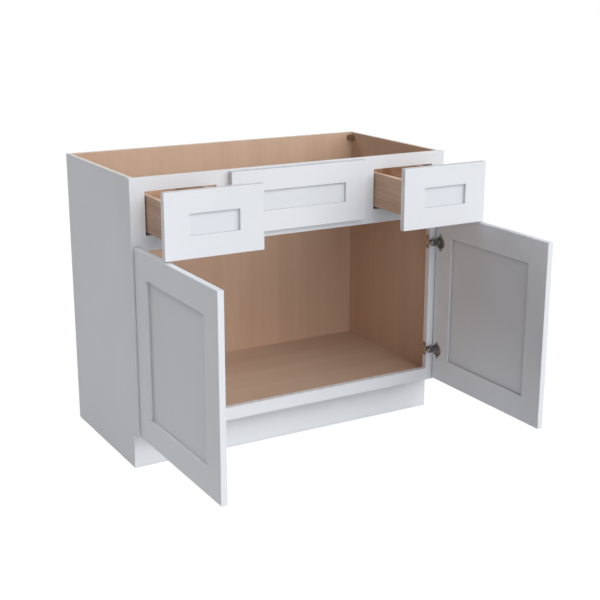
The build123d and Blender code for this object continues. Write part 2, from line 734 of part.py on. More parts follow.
left_slide_middles = middles(-1)
left_slide_middles.part.label = "left_slide_middles"
export_step(left_slide_middles.part, "parts/left_slide_middles.step")

left_slide_bases = bases(-1)
left_slide_bases.part.label = "left_slide_bases"
export_step(left_slide_bases.part, "parts/left_slide_bases.step")

left_slide_brackets = brackets(-1)
left_slide_brackets.part.label = "left_slide_brackets"
export_step(left_slide_brackets.part, "parts/left_slide_brackets.step")

left_drawer_locks = locks(-1)
left_drawer_locks.part.label = "left_drawer_locks"
export_step(left_drawer_locks.part, "parts/left_drawer_locks.step")

# Right drawer
right_drawer_front = slab_front(DRAWER_FRONT_IN, FRONT_EDGE, FRONT_FACE - DRAWER_OUT)
right_drawer_front.part.label = "right_drawer_front"
export_step(right_drawer_front.part, "parts/right_drawer_front.step")

right_box_outer_side = box_side(1, True)
right_box_outer_side.part.label = "right_box_outer_side"
export_step(right_box_outer_side.part, "parts/right_box_outer_side.step")

right_box_inner_side = box_side(1, False)
right_box_inner_side.part.label = "right_box_inner_side"
export_step(right_box_inner_side.part, "parts/right_box_inner_side.step")

right_box_front = box_front(1)
right_box_front.part.label = "right_box_front"
export_step(right_box_front.part, "parts/right_box_front.step")

right_box_back = box_back(1)
right_box_back.part.label = "right_box_back"
export_step(right_box_back.part, "parts/right_box_back.step")

right_box_bottom = box_bottom(1)
right_box_bottom.part.label = "right_box_bottom"
export_step(right_box_bottom.part, "parts/right_box_bottom.step")

right_slide_runners = runners(1)
right_slide_runners.part.label = "right_slide_runners"
export_step(right_slide_runners.part, "parts/right_slide_runners.step")

right_slide_middles = middles(1)
right_slide_middles.part.label = "right_slide_middles"
export_step(right_slide_middles.part, "parts/right_slide_middles.step")

right_slide_bases = bases(1)
right_slide_bases.part.label = "right_slide_bases"
export_step(right_slide_bases.part, "parts/right_slide_bases.step")

right_slide_brackets = brackets(1)
right_slide_brackets.part.label = "right_slide_brackets"
export_step(right_slide_brackets.part, "parts/right_slide_brackets.step")

right_drawer_locks = locks(1)
right_drawer_locks.part.label = "right_drawer_locks"
export_step(right_drawer_locks.part, "parts/right_drawer_locks.step")
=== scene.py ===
# %% [markdown]
# # A white vanity unit with open doors and drawers
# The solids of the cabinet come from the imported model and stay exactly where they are. This file
# dresses them: it sets the camera and the studio, gives the paint, the boards and the metal their
# finish, and adds the small fasteners that hold a real cabinet together.

# %% Load the cabinet
import json
import math

import bmesh
import bpy
from mathutils import Matrix, Vector


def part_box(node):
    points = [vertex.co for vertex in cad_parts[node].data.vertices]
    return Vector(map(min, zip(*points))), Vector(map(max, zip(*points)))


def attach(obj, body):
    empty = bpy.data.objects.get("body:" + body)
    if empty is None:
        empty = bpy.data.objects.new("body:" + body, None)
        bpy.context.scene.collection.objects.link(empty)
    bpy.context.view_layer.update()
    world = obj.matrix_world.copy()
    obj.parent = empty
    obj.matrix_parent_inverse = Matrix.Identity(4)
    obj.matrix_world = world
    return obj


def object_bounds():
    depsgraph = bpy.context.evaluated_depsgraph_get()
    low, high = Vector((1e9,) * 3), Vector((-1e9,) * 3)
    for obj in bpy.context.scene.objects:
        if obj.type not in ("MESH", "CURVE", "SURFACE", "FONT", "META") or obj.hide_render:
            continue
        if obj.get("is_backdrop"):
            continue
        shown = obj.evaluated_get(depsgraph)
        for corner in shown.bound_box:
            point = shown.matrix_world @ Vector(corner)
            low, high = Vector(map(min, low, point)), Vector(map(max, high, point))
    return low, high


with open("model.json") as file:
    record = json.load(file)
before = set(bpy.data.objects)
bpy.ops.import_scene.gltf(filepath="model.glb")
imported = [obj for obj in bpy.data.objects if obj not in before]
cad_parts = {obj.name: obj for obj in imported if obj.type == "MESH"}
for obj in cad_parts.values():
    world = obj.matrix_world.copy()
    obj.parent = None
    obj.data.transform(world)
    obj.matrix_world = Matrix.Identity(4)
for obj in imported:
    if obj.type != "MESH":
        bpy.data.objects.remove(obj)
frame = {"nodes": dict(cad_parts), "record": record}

scene = bpy.context.scene
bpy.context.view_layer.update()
nodes = frame["nodes"]
slot_of = {row["node"]: row["material_slot"] for row in frame["record"]["subparts"]}

# %% [markdown]
# ## Camera
# The picture was taken from the left of the cabinet and above it, with a long lens. The numbers were
# found from the cabinet's own edges: where its corners and its parallel lines fall in the picture. A
# camera looks along its own -Z, so the aim is given as a direction and turned into a rotation.

# %% Camera
EYE = Vector((-1.6997, -2.9568, 1.4251))
YAW = math.radians(29.995)
PITCH = math.radians(15.820)
ROLL = math.radians(0.067)
LENS = 69.767
SENSOR = 36.0
FAR_LIMIT = 200.0

aim = Vector((math.sin(YAW) * math.cos(PITCH), math.cos(YAW) * math.cos(PITCH), -math.sin(PITCH)))
turn = aim.to_track_quat("-Z", "Y") @ Matrix.Rotation(ROLL, 3, "Z").to_quaternion()
camera_data = bpy.data.cameras.new("camera")
camera_data.lens = LENS
camera_data.sensor_width = SENSOR
camera_data.clip_end = FAR_LIMIT
camera = bpy.data.objects.new("camera", camera_data)
camera.location = EYE
camera.rotation_euler = turn.to_euler()
scene.collection.objects.link(camera)
scene.camera = camera
print("camera looks along", [round(v, 3) for v in aim])

# %% [markdown]
# ## Shader sums as Python
# A finish is a small graph of nodes. Drawing such a graph by hand takes a line for every link, so a
# `Signal` stands for one socket and takes part in ordinary arithmetic, and a `Finish` owns a material
# and adds any other node. Settings go in before sockets, because they can change which sockets exist.
# Textures are sized in cycles per metre, and a pair of sizes is along the grain and across it. A bump
# is a pair too: its strength, and its height in metres.

# %% Signal and finish
MIX_FACTOR, MIX_FIRST, MIX_SECOND, MIX_RESULT = 0, 6, 7, 2
BEVEL_SAMPLES = 4
CORNER_SAMPLES = 8
ARRIS_TURN = (0.02, 0.22)
CORNER_DEPTH = (0.04, 0.62)


class Signal:
    """One shader socket that can be added, subtracted, multiplied and compared."""

    def __init__(self, finish, socket):
        self.finish = finish
        self.socket = socket

    def combine(self, operation, *values):
        return self.finish.add("ShaderNodeMath", {"operation": operation}, dict(enumerate(values)))

    def __add__(self, other):
        return self.combine("ADD", self, other)

    def __sub__(self, other):
        return self.combine("SUBTRACT", self, other)

    def __rsub__(self, other):
        return self.combine("SUBTRACT", other, self)

    def __mul__(self, other):
        return self.combine("MULTIPLY", self, other)

    def __lt__(self, other):
        return self.combine("LESS_THAN", self, other)

    def __gt__(self, other):
        return self.combine("GREATER_THAN", self, other)

    def __abs__(self):
        return self.combine("ABSOLUTE", self)

    def sine(self):
        return self.combine("SINE", self)

    def larger(self, other):
        return self.combine("MAXIMUM", self, other)

    __radd__ = __add__
    __rmul__ = __mul__


class Finish:
    """A material under construction."""

    def __init__(self, name):
        self.material = bpy.data.materials.new(name)
        self.material.use_nodes = True
        self.tree = self.material.node_tree
        self.shader = self.tree.nodes["Principled BSDF"]
        self.place = self.add("ShaderNodeTexCoord", output="Object")

    def add(self, kind, settings=None, sockets=None, output=0):
        """A new node with its settings and sockets, and the signal of one of its outputs."""
        made = self.tree.nodes.new(kind)
        for name, value in (settings or {}).items():
            if name == "stops":
                for element, (position, shade) in zip(made.color_ramp.elements, value):
                    element.position = position
                    element.color = shade
            else:
                setattr(made, name, value)
        for name, value in (sockets or {}).items():
            self.feed(made.inputs[name], value)
        return Signal(self, made.outputs[output])

    def feed(self, socket, value):
        """Link a signal to a socket, or write a plain value into it."""
        if isinstance(value, Signal):
            self.tree.links.new(value.socket, socket)
        else:
            socket.default_value = value

    def set(self, **sockets):
        """Feed the shader itself. A _ stands for the space in the name of a socket."""
        for name, value in sockets.items():
            self.feed(self.shader.inputs[name.replace("_", " ")], value)

    def noise(self, stretch, detail=3.0, rough=0.5, twist=0.0):
        spread = self.add("ShaderNodeMapping", None, {"Vector": self.place, "Scale": stretch})
        sockets = {"Vector": spread, "Scale": 1.0}
        sockets.update({"Detail": detail, "Roughness": rough, "Distortion": twist})
        return self.add("ShaderNodeTexNoise", None, sockets)

    def ramp(self, signal, low, high):
        """0 up to the low level, 1 from the high level on."""
        stops = [(low, (0.0, 0.0, 0.0, 1.0)), (high, (1.0, 1.0, 1.0, 1.0))]
        return self.add("ShaderNodeValToRGB", {"stops": stops}, {"Fac": signal})

    def blend(self, first, second, factor):
        """The first colour, which turns into the second as the factor grows to 1."""
        sockets = {MIX_FACTOR: factor, MIX_FIRST: first, MIX_SECOND: second}
        return self.add("ShaderNodeMix", {"data_type": "RGBA"}, sockets, output=MIX_RESULT)

    def along(self, axis):
        """How far along an axis a point is, in metres."""
        return self.add("ShaderNodeSeparateXYZ", None, {0: self.place}, output=axis)

    def true_normal(self):
        return self.add("ShaderNodeNewGeometry", output="True Normal")

    def facing(self, axis):
        """How squarely a face looks along an axis: 1 when it does, -1 when it looks the other way."""
        return self.add("ShaderNodeSeparateXYZ", None, {0: self.true_normal()}, output=axis)

    def eased(self, radius):
        """The normals of a piece whose edges are rounded off."""
        return self.add("ShaderNodeBevel", {"samples": BEVEL_SAMPLES}, {"Radius": radius})

    def arris(self, rounded):
        """1 on the outer edges, where a rounded normal leaves the true one."""
        sockets = {0: rounded, 1: self.true_normal()}
        level = self.add("ShaderNodeVectorMath", {"operation": "DOT_PRODUCT"}, sockets, output="Value")
        return self.ramp(1.0 - level, *ARRIS_TURN)

    def shut_in(self, reach):
        """How closely other faces stand round a point: 0 in the open."""
        settings = {"samples": CORNER_SAMPLES}
        return 1.0 - self.add("ShaderNodeAmbientOcclusion", settings, {"Distance": reach}, output="AO")

    def corner(self, reach):
        """1 deep in an inner corner."""
        return self.ramp(self.shut_in(reach), *CORNER_DEPTH)

    def bump(self, height, strength, distance, normal):
        sockets = {"Strength": strength, "Distance": distance, "Height": height, "Normal": normal}
        return self.add("ShaderNodeBump", None, sockets)


def colour(red, green, blue):
    """A colour written as it looks on a screen, turned into light."""
    light = []
    for value in (red, green, blue):
        share = value / 255.0
        light.append(share / 12.92 if share <= 0.04045 else ((share + 0.055) / 1.055) ** 2.4)
    return (*light, 1.0)


ALONG_X, ALONG_Y, ALONG_Z = 0, 1, 2
SQUARE_ON = 0.5


def stretched(axis, along, across):
    """Texture scale in cycles per metre: slow along the grain, quick across it."""
    return tuple(along if i == axis else across for i in range(3))


def even(cycles):
    """Texture scale in cycles per metre, the same every way."""
    return (cycles, cycles, cycles)


print("ready to mix finishes")

# %% [markdown]
# ## White lacquer
# The frame, doors and drawer fronts are sprayed with satin white lacquer. Sprayed paint is never flat:
# it has an orange-peel ripple about a millimetre wide, the wood under it telegraphs a little, and it
# pulls thin over each arris. Inner corners are painted grey, a painted shade. A bevel node gives the
# square boards the soft arris that sandpaper leaves, and the same node, compared with the true normal,
# says where the arrises are. An ambient occlusion node finds the inner corners. Sunk fields are painted
# greyer, a painted shade: the door panels all over, and the one-piece fronts wherever a forward face lies
# behind the rim. The faces of those fronts that look up, their upper edges and ledges, are painted
# darker, a painted shade. The stiles and rails of the doors get a brighter paint, a painted highlight. On
# the inner side of a door the painted shade in the corners of its panel is stronger and reaches further.

# %% White lacquer
FRAME_PAINT = (colour(231, 234, 239), colour(227, 230, 235))
# Painted highlight: the brighter paint of the stiles and rails of the doors.
LIT_DOOR_PAINT = (colour(235, 238, 243), colour(231, 235, 240))
# Painted shade: the greyer paint of the door panels.
SHADED_SUNK_PAINT = (colour(227, 231, 236), colour(225, 228, 233))
PAINT_EDGE = colour(233, 236, 241)
# Painted shade: the greyer colour of the sunk field of a one-piece front.
PAINT_SUNK_SHADE = colour(223, 227, 232)
# Painted shade: the grey that inner corners turn to.
PAINT_CORNER_SHADE = colour(150, 153, 158)
# Painted shade: the darker colour of the faces of a front that look up.
PAINT_LEDGE_SHADE = colour(192, 194, 198)
PAINT_DRIFT = 2.3
ORANGE_PEEL = 760.0
PAINT_GRAIN = (5.0, 190.0)
GRAIN_IN_HEIGHT = 0.5
GRAIN_IN_TONE = 0.4
EDGE_SHARE = 0.6
PAINT_ROUGH = 0.36
DRIFT_ROUGH = 0.12
EDGE_ROUGH = 0.08
PAINT_BUMP = (0.10, 0.0004)
PAINT_GLOSS = 0.4
ARRIS = 0.0009
CORNER_REACH = 0.014
CORNER_SHARE = 0.2
DOOR_CORNER_SHARE = 0.35
PANEL_CORNER_REACH = 0.028
PANEL_OUTER_DEPTH = (0.04, 0.42)
PANEL_OUTER_SHARE = 0.32
PANEL_INNER_DEPTH = (0.015, 0.3)
PANEL_INNER_SHARE = 0.58
FALSE_FACE = -0.0196
DRAWER_FACE = -0.2190
SUNK_DEPTH = 0.004
SUNK_SHADE_SHARE = 0.9
LEDGE_SHADE_SHARE = 0.8


def sprayed(made, rounded, corner_shade, grain_axis=None, paint=FRAME_PAINT):
    """Colour, roughness and height of the lacquer, with painted shade in its corners by the given share.
    """
    arris = made.arris(rounded)
    drift = made.noise(even(PAINT_DRIFT), detail=2.0)
    peel = made.noise(even(ORANGE_PEEL), detail=1.0)
    height = peel
    tone = made.ramp(drift, low=0.35, high=0.7)
    if grain_axis is not None:
        grain = made.noise(stretched(grain_axis, *PAINT_GRAIN), detail=4.0, rough=0.6)
        relief = made.ramp(grain, low=0.3, high=0.75)
        height = peel * (1.0 - GRAIN_IN_HEIGHT) + relief * GRAIN_IN_HEIGHT
        tone = tone * (1.0 - GRAIN_IN_TONE) + grain * GRAIN_IN_TONE
    shade = made.blend(made.blend(*paint, tone), PAINT_EDGE, arris * EDGE_SHARE)
    # Painted shade in the inner corners.
    shade = made.blend(shade, PAINT_CORNER_SHADE, corner_shade)
    return shade, PAINT_ROUGH + drift * DRIFT_ROUGH + arris * EDGE_ROUGH, height


def coated(made, rounded, shade, rough, height):
    made.set(Base_Color=shade, Roughness=rough, Normal=made.bump(height, *PAINT_BUMP, rounded))
    made.set(Specular_IOR_Level=PAINT_GLOSS)
    return made.material


def lacquer(name, grain_axis, paint=FRAME_PAINT, share=CORNER_SHARE):
    made = Finish(name)
    rounded = made.eased(ARRIS)
    # Painted shade in the inner corners, by the given share.
    corner_shade = made.corner(CORNER_REACH) * share
    return coated(made, rounded, *sprayed(made, rounded, corner_shade, grain_axis, paint))


def sunk_lacquer(name):
    """A door panel, sunk all over. Its inner face is the one nearer to the middle of the open cabinet."""
    low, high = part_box("right_door_panel")
    made = Finish(name)
    rounded = made.eased(ARRIS)
    inner = abs(made.along(ALONG_X)) < (low.x + high.x) / 2
    shut_in = made.shut_in(PANEL_CORNER_REACH)
    outer_corner_shade = made.ramp(shut_in, *PANEL_OUTER_DEPTH) * PANEL_OUTER_SHARE
    inner_corner_shade = made.ramp(shut_in, *PANEL_INNER_DEPTH) * PANEL_INNER_SHARE
    # Painted shade in the corners of the panel, stronger and reaching further on its inner face.
    corner_shade = outer_corner_shade + inner * (inner_corner_shade - outer_corner_shade)
    return coated(made, rounded, *sprayed(made, rounded, corner_shade, paint=SHADED_SUNK_PAINT))


def slab_lacquer(name, face):
    """A front in one piece: its field is whatever looks forward from behind the rim."""
    made = Finish(name)
    rounded = made.eased(ARRIS)
    shade, rough, height = sprayed(made, rounded, made.corner(CORNER_REACH) * CORNER_SHARE)
    sunk = (made.along(ALONG_Y) > face + SUNK_DEPTH) * (made.facing(ALONG_Y) < -SQUARE_ON)
    ledge = made.facing(ALONG_Z) > SQUARE_ON
    # Painted shade: the sunk field turns greyer.
    shade = made.blend(shade, PAINT_SUNK_SHADE, sunk * SUNK_SHADE_SHARE)
    # Painted shade: the faces that look up turn darker.
    shade = made.blend(shade, PAINT_LEDGE_SHADE, ledge * LEDGE_SHADE_SHARE)
    return coated(made, rounded, shade, rough, height)


false_lacquer = slab_lacquer("false_lacquer", FALSE_FACE)
drawer_lacquer = slab_lacquer("drawer_lacquer", DRAWER_FACE)
panel_lacquer = sunk_lacquer("panel_lacquer")
upright_lacquer = lacquer("upright_lacquer", ALONG_Z)
level_lacquer = lacquer("level_lacquer", ALONG_X)
# The stiles and rails of the doors take the brighter paint, a painted highlight.
door_stile_lacquer = lacquer("door_stile_lacquer", ALONG_Z, LIT_DOOR_PAINT, DOOR_CORNER_SHARE)
door_rail_lacquer = lacquer("door_rail_lacquer", ALONG_Y, LIT_DOOR_PAINT, DOOR_CORNER_SHARE)
print("lacquers", false_lacquer.name, drawer_lacquer.name, panel_lacquer.name, upright_lacquer.name)

# %% [markdown]
# ## Plywood
# The boards under the paint and the print are plywood. Its faces are a pale rotary-cut veneer with a
# wandering figure, and its cut edges show the plies: pale layers and darker ones in turn. A sine wave
# across the thickness of the board gives the layers, and the direction that a face looks in tells a cut
# edge from a veneer.

# %% Plywood
VENEER_PALE = colour(231, 216, 195)
VENEER_DARK = colour(211, 190, 163)
PLY_PALE = colour(231, 224, 217)
PLY_DARK = colour(205, 190, 175)
PLY_PAIR = 0.00508
PLY_FUZZ = 300.0
LAYER_SHARE = 0.4
FUZZ_SHARE = 0.3
LAYER_LEVEL = 0.4
VENEER_FIGURE = (0.9, 17.0)
VENEER_FINE = (8.0, 320.0)
VENEER_FINE_SHARE = 0.5
VENEER_ROUGH = 0.66
VENEER_FINE_ROUGH = 0.15
VENEER_BUMP = (0.2, 0.0005)
VENEER_ARRIS = 0.0005


def veneer(made, axis):
    """Colour and height of a bare rotary-cut veneer."""
    figure = made.noise(stretched(axis, *VENEER_FIGURE), detail=3.0, rough=0.5, twist=0.5)
    fine = made.noise(stretched(axis, *VENEER_FINE), detail=4.0, rough=0.65)
    lines = made.ramp(fine, low=0.45, high=0.8) * VENEER_FINE_SHARE
    shade = made.blend(VENEER_DARK, VENEER_PALE, made.ramp(figure, low=0.22, high=0.78))
    return made.blend(shade, VENEER_DARK, lines), fine


def plies(made, axis, start):
    """Colour of a cut edge: layers across the thickness, counted from one face of the board."""
    depth = (abs(made.along(axis)) - start) * (2.0 * math.pi / PLY_PAIR)
    fuzz = made.noise(even(PLY_FUZZ), detail=2.0)
    layers = depth.sine() * LAYER_SHARE + fuzz * FUZZ_SHARE + LAYER_LEVEL
    return made.blend(PLY_DARK, PLY_PALE, made.ramp(layers, low=0.3, high=0.7))


def bare_ply(name, axis, thickness_axis, start):
    made = Finish(name)
    rounded = made.eased(VENEER_ARRIS)
    face, fine = veneer(made, axis)
    cut = abs(made.facing(thickness_axis)) < SQUARE_ON
    shade = made.blend(face, plies(made, thickness_axis, start), cut)
    made.set(Base_Color=shade, Roughness=VENEER_ROUGH + fine * VENEER_FINE_ROUGH,
             Normal=made.bump(fine, *VENEER_BUMP, rounded))
    return made.material


NAILER_FACE = 0.5207
BOTTOM_FACE = 0.7342
nailer_ply = bare_ply("nailer_ply", ALONG_X, ALONG_Y, NAILER_FACE)
bottom_ply = bare_ply("bottom_ply", ALONG_Y, ALONG_Z, BOTTOM_FACE)
print("plywood", nailer_ply.name, bottom_ply.name)

# %% [markdown]
# ## Tan boards
# Inside, the boards carry a tan wood print. Its grain is a slow drift of tone along the board with
# finer streaks and short dark pores over it, and it is nearly flat to the touch. Only the faces that
# look into the cabinet have the print: the back and the deck are bare veneer on the other side, and the
# two sides are painted outside. So each finish asks which way a face looks, or how far it is from the
# middle plane. What stands in the cabinet rubs the print of the deck a little paler.

# %% Tan boards
TAN = colour(204, 173, 149)
TAN_PALE = colour(210, 181, 158)
TAN_DARK = colour(195, 163, 139)
TAN_RUBBED = colour(216, 200, 184)
PORE = colour(166, 133, 110)
PRINT_BROAD = (0.9, 16.0)
PRINT_FINE = (3.0, 150.0)
PRINT_PORES = (22.0, 620.0)
PRINT_PLAIN_SHARE = 0.35
PRINT_FINE_SHARE = 0.3
PRINT_PORE_SHARE = 0.2
PRINT_PORE_DEPTH = 0.5
PRINT_ROUGH = 0.46
PRINT_RELIEF_ROUGH = 0.1
PRINT_BUMP = (0.12, 0.0003)
PRINT_GLOSS = 0.35
PRINT_ARRIS = 0.0006
PRINT_DULLING = 0.05
SIDE_INNER_FACE = 0.51435
SIDE_PRINT_REACH = 0.5150


def printed_grain(made, axis):
    """Colour and height of the tan wood print."""
    broad = made.noise(stretched(axis, *PRINT_BROAD), detail=2.0, rough=0.5, twist=0.4)
    fine = made.noise(stretched(axis, *PRINT_FINE), detail=4.0, rough=0.6)
    pores = made.ramp(made.noise(stretched(axis, *PRINT_PORES), detail=1.0), low=0.64, high=0.74)
    shade = made.blend(TAN_DARK, TAN_PALE, made.ramp(broad, low=0.25, high=0.78))
    shade = made.blend(shade, TAN, PRINT_PLAIN_SHARE)
    shade = made.blend(shade, TAN_DARK, made.ramp(fine, low=0.48, high=0.8) * PRINT_FINE_SHARE)
    return made.blend(shade, PORE, pores * PRINT_PORE_SHARE), fine - pores * PRINT_PORE_DEPTH


def printed_board(name, axis, bare_axis, bare_way, start, rub=0.0):
    """A board with the print on one face, bare veneer on the other and plies along its edges."""
    made = Finish(name)
    rounded = made.eased(PRINT_ARRIS)
    print_shade, height = printed_grain(made, axis)
    print_shade = made.blend(print_shade, TAN_RUBBED, rub)
    bare_shade, _ = veneer(made, axis)
    looks = made.facing(bare_axis)
    shade = made.blend(print_shade, bare_shade, looks * bare_way > SQUARE_ON)
    shade = made.blend(shade, plies(made, bare_axis, start), abs(looks) < SQUARE_ON)
    made.set(Base_Color=shade, Roughness=PRINT_ROUGH + height * PRINT_RELIEF_ROUGH,
             Normal=made.bump(height, *PRINT_BUMP, rounded))
    made.set(Specular_IOR_Level=PRINT_GLOSS)
    return made.material


def side_board(name):
    """A side of the cabinet: paint outside, print inside and plies along its edges."""
    made = Finish(name)
    rounded = made.eased(ARRIS)
    print_shade, print_height = printed_grain(made, ALONG_Z)
    # Painted shade in the inner corners, as on the lacquer.
    corner_shade = made.corner(CORNER_REACH) * CORNER_SHARE
    paint_shade, paint_rough, paint_height = sprayed(made, rounded, corner_shade)
    inside = abs(made.along(ALONG_X)) < SIDE_PRINT_REACH
    shade = made.blend(paint_shade, print_shade, inside)
    cut = abs(made.facing(ALONG_X)) < SQUARE_ON
    shade = made.blend(shade, plies(made, ALONG_X, SIDE_INNER_FACE), cut)
    height = paint_height + (print_height - paint_height) * inside
    made.set(Base_Color=shade, Roughness=paint_rough + inside * PRINT_DULLING,
             Normal=made.bump(height, *PAINT_BUMP, rounded))
    made.set(Specular_IOR_Level=PAINT_GLOSS)
    return made.material


BACK_FACE = 0.51435
DECK_FACE = 0.1286
DECK_RUB = 0.2
back_tan = printed_board("back_tan", ALONG_Z, ALONG_Y, 1.0, BACK_FACE)
deck_tan = printed_board("deck_tan", ALONG_X, ALONG_Z, -1.0, DECK_FACE, DECK_RUB)
painted_side = side_board("painted_side")
print("boards", back_tan.name, deck_tan.name, painted_side.name)

# %% [markdown]
# ## Drawer wood
# The drawer boxes are a brown hardwood with the grain along each board. The figure is a stretched noise
# with a little twist, and darker fine lines and short pores lie over it. The faces that look up, the top
# edges of the boards, are painted paler, a painted highlight, and the rounded arrises are rubbed paler.
# One finish runs the grain front to back for the sides, and another runs it across for the ends.

# %% Drawer wood
WOOD = colour(206, 168, 141)
WOOD_PALE = colour(227, 194, 167)
WOOD_DARK = colour(175, 137, 111)
WOOD_FIGURE = (1.6, 34.0)
WOOD_FINE = (6.0, 260.0)
WOOD_PORES = (30.0, 760.0)
WOOD_PLAIN_SHARE = 0.35
WOOD_FINE_SHARE = 0.5
WOOD_PORE_DEPTH = 0.6
WOOD_ROUGH = 0.42
WOOD_FINE_ROUGH = 0.14
WOOD_BUMP = (0.15, 0.0004)
WOOD_ARRIS = 0.0008
LOOKS_UP = 0.25
# Painted highlight: the share by which faces that look up turn paler.
TOP_HIGHLIGHT = 0.55
ARRIS_RUB = 0.5


def drawer_wood(name, axis):
    made = Finish(name)
    rounded = made.eased(WOOD_ARRIS)
    arris = made.arris(rounded)
    figure = made.noise(stretched(axis, *WOOD_FIGURE), detail=3.0, rough=0.55, twist=0.8)
    fine = made.noise(stretched(axis, *WOOD_FINE), detail=4.0, rough=0.6)
    pores = made.ramp(made.noise(stretched(axis, *WOOD_PORES), detail=1.0), low=0.62, high=0.72)
    top_highlight = (made.facing(ALONG_Z) > LOOKS_UP) * TOP_HIGHLIGHT
    shade = made.blend(WOOD_DARK, WOOD_PALE, made.ramp(figure, low=0.28, high=0.72))
    shade = made.blend(shade, WOOD, WOOD_PLAIN_SHARE)
    shade = made.blend(shade, WOOD_DARK, made.ramp(fine, low=0.5, high=0.8) * WOOD_FINE_SHARE)
    # Painted highlight on the faces that look up; the arrises are rubbed paler.
    shade = made.blend(shade, WOOD_PALE, top_highlight.larger(arris * ARRIS_RUB))
    made.set(Base_Color=shade, Roughness=WOOD_ROUGH + fine * WOOD_FINE_ROUGH,
             Normal=made.bump(fine - pores * WOOD_PORE_DEPTH, *WOOD_BUMP, rounded))
    return made.material


side_wood = drawer_wood("side_wood", ALONG_Y)
end_wood = drawer_wood("end_wood", ALONG_X)
print("drawer wood", side_wood.name, end_wood.name)

# %% [markdown]
# ## Metal, plastic and pads
# The hinges are nickel plated, the drawer slides are zinc plated, and the rear brackets, corner braces
# and drawer catches are moulded plastic. Plating is a clouded metal with fine rub marks, a little
# brighter where edges have been handled, and painted dark in its inner corners, a painted shade. The arm
# of a hinge is darker than its plate: it is a folded channel round oiled links. Moulded plastic has a
# fine spark-eroded grit and drifts in tone.

# %% Metal, plastic and pads
# Painted shade: the dark that the inner corners of plated metal turn to.
METAL_SHADE = colour(46, 45, 45)
METAL_SHADE_REACH = 0.008
METAL_SHADE_SHARE = 0.7
CUP_SHADE_SHARE = 0.35
ARM_STEEL = colour(142, 143, 146)
ARM_SHARE = 0.9
FRAME_FACE = 0.0
PLATING_HAZE = 60.0
PLATING_RUB = (120.0, 1500.0)
HAZE_ROUGH = 0.16
ARRIS_POLISH = 0.06
PLATING_BUMP = (0.08, 0.0001)
PLATING_ARRIS = 0.0003
MOULD_GRIT = 1400.0
MOULD_DRIFT = 40.0
GRIT_ROUGH = 0.12
GRIT_BUMP = (0.15, 0.0002)
MOULD_ARRIS = 0.0006


def plated(name, shade, dark, rough, shade_share=METAL_SHADE_SHARE, arm=False):
    """Plated steel. The arm of a hinge is whatever stands out in front of the frame."""
    made = Finish(name)
    rounded = made.eased(PLATING_ARRIS)
    arris = made.arris(rounded)
    haze = made.noise(even(PLATING_HAZE), detail=4.0)
    rub = made.noise(stretched(ALONG_Z, *PLATING_RUB), detail=2.0)
    clouds = made.blend(shade, dark, made.ramp(haze, low=0.35, high=0.75))
    tone = made.blend(clouds, shade, arris)
    if arm:
        tone = made.blend(tone, ARM_STEEL, (made.along(ALONG_Y) < FRAME_FACE) * ARM_SHARE)
    # Painted shade: the inner corners turn dark.
    made.set(Base_Color=made.blend(tone, METAL_SHADE, made.corner(METAL_SHADE_REACH) * shade_share),
             Roughness=rough + haze * HAZE_ROUGH - arris * ARRIS_POLISH,
             Normal=made.bump(rub, *PLATING_BUMP, rounded))
    made.set(Metallic=1.0)
    return made.material


def moulded(name, shade, dark, rough):
    made = Finish(name)
    rounded = made.eased(MOULD_ARRIS)
    grit = made.noise(even(MOULD_GRIT), detail=2.0)
    drift = made.noise(even(MOULD_DRIFT), detail=2.0)
    made.set(Base_Color=made.blend(shade, dark, made.ramp(drift, low=0.3, high=0.75)),
             Roughness=rough + grit * GRIT_ROUGH, Normal=made.bump(grit, *GRIT_BUMP, rounded))
    return made.material


hinge_nickel = plated("hinge_nickel", colour(206, 198, 190), colour(178, 170, 164), rough=0.32, arm=True)
cup_nickel = plated("cup_nickel", colour(188, 181, 175), colour(160, 154, 149), rough=0.34,
                    shade_share=CUP_SHADE_SHARE)
screw_steel = plated("screw_steel", colour(156, 151, 146), colour(128, 124, 120), rough=0.36)
slide_zinc = plated("slide_zinc", colour(206, 208, 211), colour(176, 179, 183), rough=0.34)
bracket_plastic = moulded("bracket_plastic", colour(70, 70, 72), colour(56, 56, 58), rough=0.46)
brace_plastic = moulded("brace_plastic", colour(124, 98, 76), colour(104, 80, 61), rough=0.5)
pad_rubber = moulded("pad_rubber", colour(230, 232, 235), colour(222, 224, 227), rough=0.3)
print("metals", hinge_nickel.name, cup_nickel.name, slide_zinc.name)

# %% [markdown]
# ## A finish for every board
# The record names a material slot for each node, so most nodes take the finish of their slot. Boards
# whose grain runs another way are named one by one. Only the material slots of a node change, never its
# mesh.

# %% A finish for every board
FINISH_OF_SLOT = {
    "painted_front": drawer_lacquer,
    "painted_panel": panel_lacquer,
    "painted_frame": level_lacquer,
    "side_board": painted_side,
    "interior_board": back_tan,
    "raw_ply": nailer_ply,
    "drawer_board": side_wood,
    "drawer_bottom": bottom_ply,
    "hinge_steel": hinge_nickel,
    "cup_steel": cup_nickel,
    "slide_steel": slide_zinc,
    "bracket_plastic": bracket_plastic,
    "brace_plastic": brace_plastic,
    "pad_rubber": pad_rubber,
}
SIDES = {"left": -1.0, "right": 1.0}
FINISH_OF_NODE = {"deck": deck_tan, "false_front": false_lacquer}
for side in SIDES:
    FINISH_OF_NODE[f"stile_{side}"] = upright_lacquer
    FINISH_OF_NODE[f"mullion_{side}"] = upright_lacquer
    FINISH_OF_NODE[f"{side}_door_hinge_stile"] = door_stile_lacquer
    FINISH_OF_NODE[f"{side}_door_lock_stile"] = door_stile_lacquer
    FINISH_OF_NODE[f"{side}_door_top_rail"] = door_rail_lacquer
    FINISH_OF_NODE[f"{side}_door_bottom_rail"] = door_rail_lacquer
    FINISH_OF_NODE[f"{side}_box_front"] = end_wood
    FINISH_OF_NODE[f"{side}_box_back"] = end_wood

